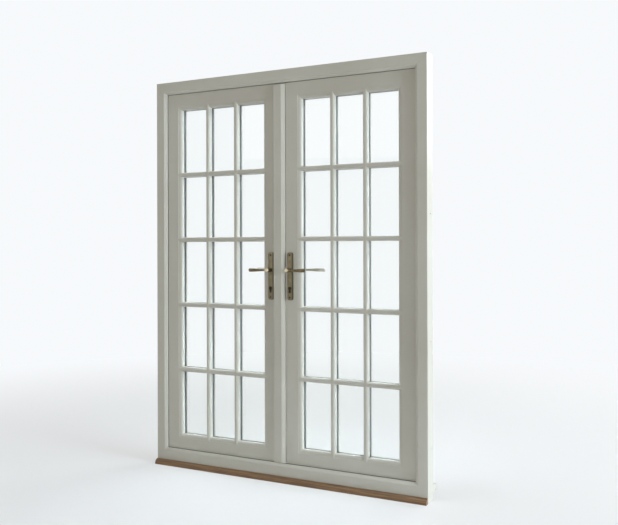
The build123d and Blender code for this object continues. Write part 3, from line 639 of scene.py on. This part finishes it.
def slotted_screw(radius, rise, slot_floor, shank, length):
    """A mesh of one screw along Z: its head is domed above z = 0 and slotted, its shank below."""
    work = bmesh.new()
    bmesh.ops.create_uvsphere(work, u_segments=head_sides, v_segments=head_rings, radius=radius)
    cut(work, (0, 0, 0), (0, 0, 1), clear_inner=True)
    bmesh.ops.scale(work, verts=work.verts, vec=(1, 1, rise / radius))
    half_slot = radius * slot_share
    for x in (-half_slot, half_slot):
        cut(work, (x, 0, 0), (1, 0, 0))
    top = [face for face in work.faces if abs(face.calc_center_median().x) < half_slot]
    sunk = bmesh.ops.extrude_face_region(work, geom=top)["geom"]
    bmesh.ops.delete(work, geom=[face for face in top if face.is_valid], context="FACES")
    for vert in verts_of(sunk):
        vert.co.z = slot_floor
    rim = [edge for edge in work.edges if edge.is_boundary]
    for share, depth in ((shank / radius, radius - shank), (1.0, length)):
        grown = bmesh.ops.extrude_edge_only(work, edges=rim)["geom"]
        bmesh.ops.scale(work, verts=verts_of(grown), vec=(share, share, 0))
        bmesh.ops.translate(work, verts=verts_of(grown), vec=(0, 0, -depth))
        rim = [item for item in grown if isinstance(item, bmesh.types.BMEdge) and item.is_boundary]
    bmesh.ops.holes_fill(work, edges=rim)
    bmesh.ops.recalc_face_normals(work, faces=work.faces)
    if work.calc_volume(signed=True) < 0:
        bmesh.ops.reverse_faces(work, faces=work.faces)
    assert all(edge.is_manifold for edge in work.edges)
    mesh = bpy.data.meshes.new("screw")
    work.to_mesh(mesh)
    work.free()
    return mesh


plate_screw = slotted_screw(radius=0.0047, rise=0.0009, slot_floor=-0.0006, shank=0.00245, length=0.070)
small_screw = slotted_screw(radius=0.0036, rise=0.0004, slot_floor=-0.0005, shank=0.0016, length=0.002)
print("screw faces", len(plate_screw.polygons), len(small_screw.polygons))

# %% [markdown]
# Every screw has its slot left at its own angle, as a joiner leaves them. The long plate screws
# sit in countersinks; those of hinges, faceplates and keeps are almost flush.

# %% Helpers for rows of screws
slot_turns = itertools.count(start=17, step=53)
screw_rises = (-0.036, 0.0, 0.036)
screw_depths = (0.012, 0.020, 0.012)


def screws(name, places, finish, screw, carrier):
    """Screws at (place, outward) pairs, in one mesh that rides with the carrier's body."""
    work = bmesh.new()
    for place, outward in places:
        one = screw.copy()
        aim = Vector(outward).to_track_quat("Z", "Y").to_matrix().to_4x4()
        turn = Matrix.Rotation(math.radians(next(slot_turns)), 4, "Z")
        one.transform(Matrix.Translation(place) @ aim @ turn)
        work.from_mesh(one)
        bpy.data.meshes.remove(one)
    return new_piece(work, name, finish, nodes[carrier]["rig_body"], slot_of[carrier])


def hinge_places(name, plate_x):
    """Three places on each hinge plate, the middle one further back, each with its plate's own x."""
    return [((math.copysign(plate_x, low.x), low.y + depth, (low.z + high.z) / 2 + rise), low.x)
            for low, high in islands(name) for rise, depth in zip(screw_rises, screw_depths)]


# %% [markdown]
# Each leaf has its plate screws, which replace the plain ones of the CAD, and the small screws of
# its faceplate and its hinges. The plain screws show where the long ones go, and the other
# places come from the plates themselves.

# %% Screws of the leaves
faceplate_end = 0.010
for side, towards_joint in (("left", 1), ("right", -1)):
    name = f"{side}_plate_screws"
    plate_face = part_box(f"{side}_inside_plate")[0][1]
    places = [(((low.x + high.x) / 2, plate_face, (low.z + high.z) / 2), (0, -1, 0))
              for low, high in islands(name)]
    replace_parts(screws(f"{side}_slotted_screws", places, dark_bronze_and_keyhole_shade, plate_screw, name), name)

    name = f"{side}_faceplate"
    low, high = (Vector(corner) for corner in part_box(name))
    face_x = high.x if towards_joint > 0 else low.x
    places = [((face_x, (low.y + high.y) / 2, level), (towards_joint, 0, 0))
              for level in (low.z + faceplate_end, high.z - faceplate_end)]
    screws(f"{side}_faceplate_screws", places, plated_steel, small_screw, name)

    name = f"{side}_hinge_leaves"
    leaf_edge = max(abs(corner[0]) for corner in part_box(f"{side}_hinge_stile"))
    places = [(place, (-towards_joint, 0, 0)) for place, _ in hinge_places(name, leaf_edge)]
    screws(f"{side}_hinge_screws", places, plated_steel, small_screw, name)

# %% [markdown]
# On the frame, hinge plates lie in the rebate beside the leaf's edge, and each bolt keep has a
# screw on both sides of its hole: facing down in the head and up in the sill.

# %% Screws of the frame
hinge_gap = 0.004
keep_reach = 0.0145
halfway_up = cad_box[1][2] / 2

places = [(place, (-math.copysign(1, x), 0, 0))
          for place, x in hinge_places("frame_hinge_leaves", leaf_edge + hinge_gap)]
screws("frame_hinge_screws", places, plated_steel, small_screw, "frame_hinge_leaves")

places = []
for low, high in islands("bolt_keeps"):
    middle = (low + high) / 2
    level, outward = (low.z, (0, 0, -1)) if middle.z > halfway_up else (high.z, (0, 0, 1))
    places += [((middle.x + reach, middle.y, level), outward) for reach in (-keep_reach, keep_reach)]
screws("keep_screws", places, plated_steel, small_screw, "bolt_keeps")

# %% [markdown]
# A Light Path node tells a shader what a ray has been through before it gets there. With it, a
# backdrop can look white to the camera and still give no light, and light that comes through a
# pane can differ from light that comes past the frame.


# %% Helpers for telling rays apart
def seen_rays(tree):
    """1 for a ray from the camera, straight, mirrored or through glass, and 0 for one that lights."""
    rays = tree.nodes.new("ShaderNodeLightPath")
    seen = rays.outputs["Is Camera Ray"]
    for kind in ("Is Glossy Ray", "Is Transmission Ray"):
        either = tree.nodes.new("ShaderNodeMath")
        either.operation = "MAXIMUM"
        tree.links.new(seen, either.inputs[0])
        tree.links.new(rays.outputs[kind], either.inputs[1])
        seen = either.outputs[0]
    return seen


def outdoor_rays(tree):
    """1 for a ray that left the timber and went out through a pane, and 0 for any other."""
    rays = tree.nodes.new("ShaderNodeLightPath")
    bounced = tree.nodes.new("ShaderNodeMath")
    bounced.operation = "MINIMUM"
    bounced.inputs[1].default_value = 1.0
    tree.links.new(rays.outputs["Diffuse Depth"], bounced.inputs[0])
    through_glass = tree.nodes.new("ShaderNodeMath")
    through_glass.operation = "MULTIPLY"
    tree.links.new(rays.outputs["Is Transmission Ray"], through_glass.inputs[0])
    tree.links.new(bounced.outputs[0], through_glass.inputs[1])
    return through_glass.outputs[0]


def mixed(tree, amount, first, second):
    """The second shader over the first one, by an amount from 0 to 1."""
    mix = tree.nodes.new("ShaderNodeMixShader")
    tree.links.new(amount, mix.inputs[0])
    tree.links.new(first.outputs[0], mix.inputs[1])
    tree.links.new(second.outputs[0], mix.inputs[2])
    return mix


# %% [markdown]
# The world has three faces. What the camera sees of it, directly, in a reflection or through a
# pane, is a plain white. What lights the doors is a much weaker fill. And glazed doors are seen
# against the day: light that reaches the timber through a pane is outdoor light, stronger and
# cooler, so each moulding is brightest where it meets the glass.

# %% Background
backdrop_colour = (0.93, 0.95, 0.97, 1.0)
fill_colour = (1.0, 0.96, 0.87, 1.0)
fill_strength = 0.205
daylight = (0.79, 0.90, 1.0)
daylight_strength = 15.0

world = bpy.data.worlds.new("studio")
bpy.context.scene.world = world
world.use_nodes = True
tree = world.node_tree
fill = tree.nodes["Background"]
fill.inputs["Color"].default_value = fill_colour
fill.inputs["Strength"].default_value = fill_strength
backdrop = tree.nodes.new("ShaderNodeBackground")
backdrop.inputs["Color"].default_value = backdrop_colour
outdoors = tree.nodes.new("ShaderNodeBackground")
outdoors.inputs["Color"].default_value = (*daylight, 1.0)
outdoors.inputs["Strength"].default_value = daylight_strength
shader = mixed(tree, seen_rays(tree), fill, backdrop)
shader = mixed(tree, outdoor_rays(tree), shader, outdoors)
tree.links.new(shader.outputs[0], tree.nodes["World Output"].inputs["Surface"])
print("fill", fill_strength, "daylight through the panes", daylight_strength)

# %% [markdown]
# Near the doors the floor is a real pale floor that takes their shadow. With distance it turns
# into the backdrop's white, so there is no horizon line behind the glass. Only rays that are
# seen get that white, and no light comes from it.

# %% Floor
floor_half = 30.0
floor_colour = (0.80, 0.79, 0.77, 1.0)
floor_roughness = 0.9
fade_from, fade_to = 1.2, 5.0
white_near = 0.45
level_distance = (1, 1, 0)

floor_data = bpy.data.meshes.new("studio_floor")
work = bmesh.new()
bmesh.ops.create_grid(work, x_segments=1, y_segments=1, size=floor_half)
work.to_mesh(floor_data)
work.free()
floor = bpy.data.objects.new("studio_floor", floor_data)
bpy.context.scene.collection.objects.link(floor)
floor_finish, tree, shader = new_finish("studio_floor")
shader.inputs["Base Color"].default_value = floor_colour
shader.inputs["Roughness"].default_value = floor_roughness
far_white = tree.nodes.new("ShaderNodeEmission")
far_white.inputs["Color"].default_value = backdrop_colour
fade = tree.nodes.new("ShaderNodeMapRange")
fade.interpolation_type = "SMOOTHSTEP"
fade.inputs["From Min"].default_value = fade_from
fade.inputs["From Max"].default_value = fade_to
fade.inputs["To Min"].default_value = white_near
tree.links.new(distance_node(tree, (0, 0, 0), level_distance), fade.inputs["Value"])
amount = tree.nodes.new("ShaderNodeMath")
amount.operation = "MULTIPLY"
tree.links.new(fade.outputs[0], amount.inputs[0])
tree.links.new(seen_rays(tree), amount.inputs[1])
surface = mixed(tree, amount.outputs[0], shader, far_white)
tree.links.new(surface.outputs[0], tree.nodes["Material Output"].inputs["Surface"])
floor_data.materials.append(floor_finish)
print("floor", 2 * floor_half, "m wide")

# %% [markdown]
# Two large lamps, one far to the right and one high above, both close to the plane of the doors,
# graze the flat timber and pick out each moulding that faces them. A weak warm one in front keeps
# the fittings from going black, and one behind lights the outer face.


# %% Lamps
def soft_lamp(name, place, aim, size, power, colour):
    data = bpy.data.lights.new(name, "AREA")
    data.shape = "RECTANGLE"
    data.size, data.size_y = size
    data.energy = power
    data.color = colour
    lamp = bpy.data.objects.new(name, data)
    bpy.context.scene.collection.objects.link(lamp)
    turn = (Vector(aim) - Vector(place)).to_track_quat("-Z", "Y").to_matrix().to_4x4()
    lamp.matrix_world = Matrix.Translation(place) @ turn
    lamp.visible_camera = False
    lamp.visible_transmission = False
    print(name, power, "W")


door_middle = (0, 0, 1.1)
soft_lamp("side_lamp", (8.0, -0.9, 1.9), door_middle, size=(2.4, 3.6), power=620, colour=daylight)
soft_lamp("sky_lamp", (0.4, -0.7, 8.4), (0, 0, 0.6), size=(4.0, 1.4), power=210, colour=daylight)
soft_lamp("front_lamp", (-1.6, -4.6, 3.6), door_middle, size=(3.0, 3.0), power=26, colour=(1.0, 0.92, 0.80))
soft_lamp("back_lamp", (2.6, 6.4, 4.6), door_middle, size=(4.0, 4.0), power=260, colour=(1.0, 1.0, 1.0))
